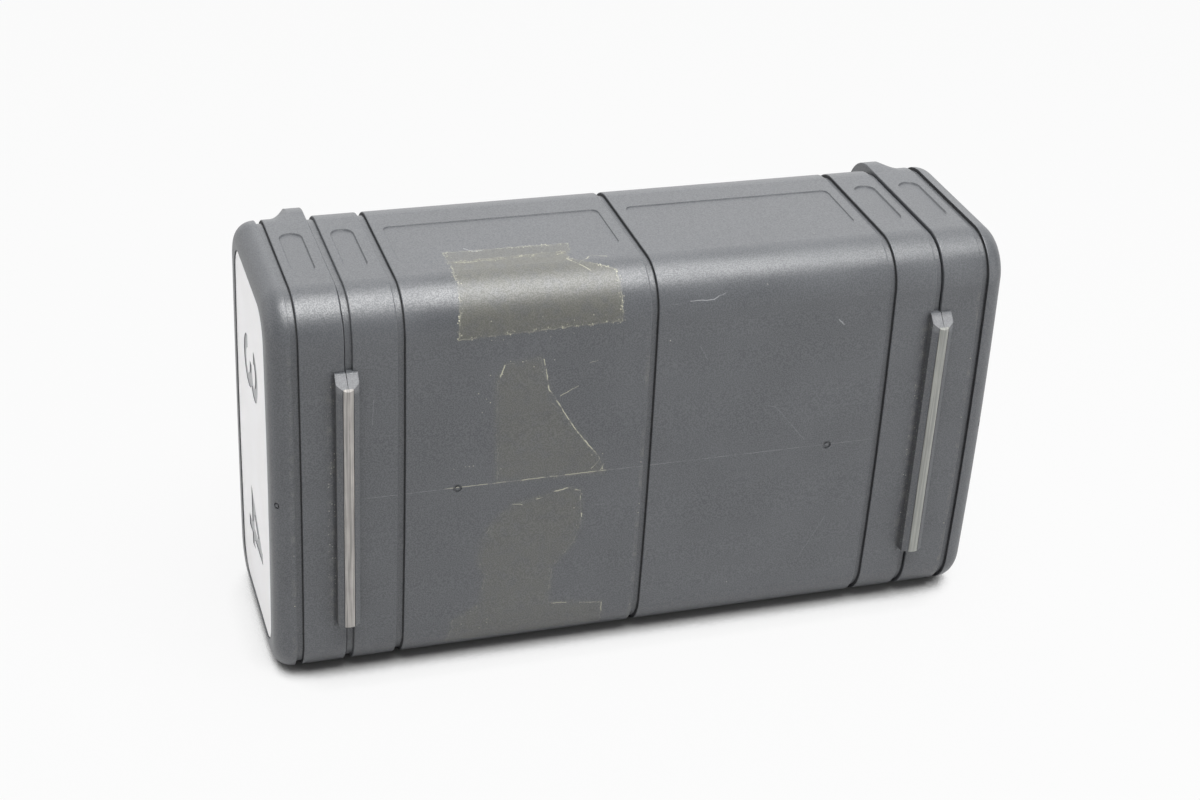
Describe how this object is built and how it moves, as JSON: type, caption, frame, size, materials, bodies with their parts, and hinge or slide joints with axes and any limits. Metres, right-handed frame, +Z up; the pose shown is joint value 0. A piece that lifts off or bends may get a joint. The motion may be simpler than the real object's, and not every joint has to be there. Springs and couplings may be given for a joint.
{
  "type": "film case",
  "caption": "Upright lead-lined plastic case for 35 mm films in cans, with a hinged lid at each end and two film cells behind each lid.",
  "frame": {"origin": "bottom centre of the overall box, on the narrow side that the case stands on", "axes": "+X along the case towards the lid numbered 1 and 2, +Y away from the hinge ridges, +Z up"},
  "size_m": [0.135, 0.049, 0.076],
  "materials": {
    "case_plastic": "satin",
    "hinge_web": "stress-whitened",
    "number_plate": "satin",
    "tray_plastic": "satin",
    "lead_sheet": "rolled, dull"
  },
  "bodies": {
    "case_body": {"body_shell": "case_plastic", "left_hinge_web": "hinge_web", "right_hinge_web": "hinge_web", "left_film_tray": "tray_plastic", "right_film_tray": "tray_plastic", "left_body_lead_wrap": "lead_sheet", "right_body_lead_wrap": "lead_sheet", "left_body_lead_floor": "lead_sheet", "right_body_lead_floor": "lead_sheet"},
    "left_lid": {"left_lid_shell": "case_plastic", "left_lid_lead_wrap": "lead_sheet", "left_lid_lead_sheet": "lead_sheet", "left_lid_pan": "tray_plastic", "left_number_plate": "number_plate"},
    "right_lid": {"right_lid_shell": "case_plastic", "right_lid_lead_wrap": "lead_sheet", "right_lid_lead_sheet": "lead_sheet", "right_lid_pan": "tray_plastic", "right_number_plate": "number_plate"}
  },
  "joints": [
    {"name": "left_lid_hinge", "type": "hinge", "parent": "case_body", "child": "left_lid", "pos_m": [-0.05465, -0.0245, 0.038], "axis": [0, 0, 1], "range_deg": [0, 180], "deforming": ["left_hinge_web"]},
    {"name": "right_lid_hinge", "type": "hinge", "parent": "case_body", "child": "right_lid", "pos_m": [0.05465, -0.0245, 0.038], "axis": [0, 0, -1], "range_deg": [0, 180], "deforming": ["right_hinge_web"]}
  ]
}
